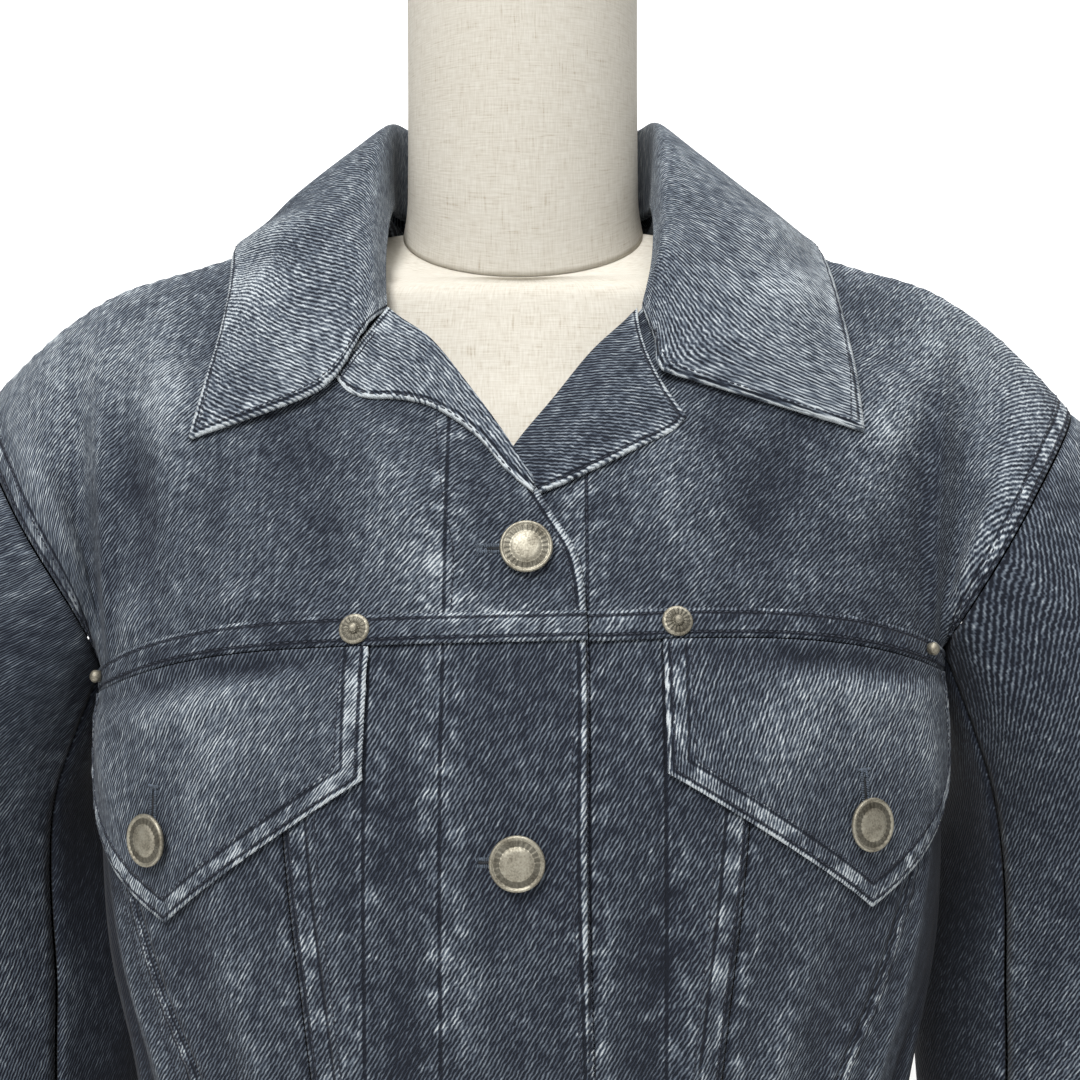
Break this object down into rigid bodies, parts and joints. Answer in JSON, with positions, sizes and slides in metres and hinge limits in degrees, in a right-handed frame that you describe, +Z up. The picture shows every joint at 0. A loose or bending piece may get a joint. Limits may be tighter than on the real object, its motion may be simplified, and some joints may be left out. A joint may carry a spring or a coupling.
{
  "type": "denim jacket on a dress form",
  "caption": "Short washed denim jacket with pointed collar, pointed chest flaps and metal buttons, worn on a limbless linen dress form on a round stand",
  "frame": {"origin": "under the middle of the stand's round base, on the floor", "axes": "+Z up along the pole, the jacket's front faces -Y, the wearer's left is at +X"},
  "size_m": [0.632, 0.34, 0.9984],
  "materials": {
    "dark_denim": "washed blue-grey twill, the darkest panels and sleeves",
    "washed_denim": "washed blue-grey twill of the yokes, paler",
    "faded_denim": "washed twill with worn edges",
    "pale_denim": "the palest worn twill",
    "antique_nickel": "antique nickel, pale gold and slightly dull",
    "linen": "cream linen with fine slubs",
    "wood": "satin",
    "steel": "satin"
  },
  "bodies": {
    "root": {"centre_front_left": "dark_denim", "centre_front_right": "dark_denim", "mid_front_left": "dark_denim", "mid_front_right": "dark_denim", "side_panel_left": "dark_denim", "side_panel_right": "dark_denim", "back_centre": "dark_denim", "back_side_left": "dark_denim", "back_side_right": "dark_denim", "upper_sleeve_left": "dark_denim", "upper_sleeve_right": "dark_denim", "under_sleeve_left": "dark_denim", "under_sleeve_right": "dark_denim", "front_yoke_left": "washed_denim", "front_yoke_right": "washed_denim", "back_yoke": "washed_denim", "yoke_strip_left": "faded_denim", "yoke_strip_right": "faded_denim", "pocket_flap_left": "faded_denim", "pocket_flap_right": "faded_denim", "cuff_left": "faded_denim", "cuff_right": "faded_denim", "hem_band": "faded_denim", "collar": "pale_denim", "lapel_left": "pale_denim", "lapel_right": "pale_denim", "front_button_1": "antique_nickel", "front_button_2": "antique_nickel", "front_button_3": "antique_nickel", "front_button_4": "antique_nickel", "front_button_5": "antique_nickel", "flap_button_left": "antique_nickel", "flap_button_right": "antique_nickel", "cuff_button_left": "antique_nickel", "cuff_button_right": "antique_nickel", "rivet_left": "antique_nickel", "rivet_right": "antique_nickel", "stud_left": "antique_nickel", "stud_right": "antique_nickel", "form_torso": "linen", "form_neck": "linen", "neck_cap": "wood", "pole": "steel", "base": "steel"}
  },
  "joints": []
}
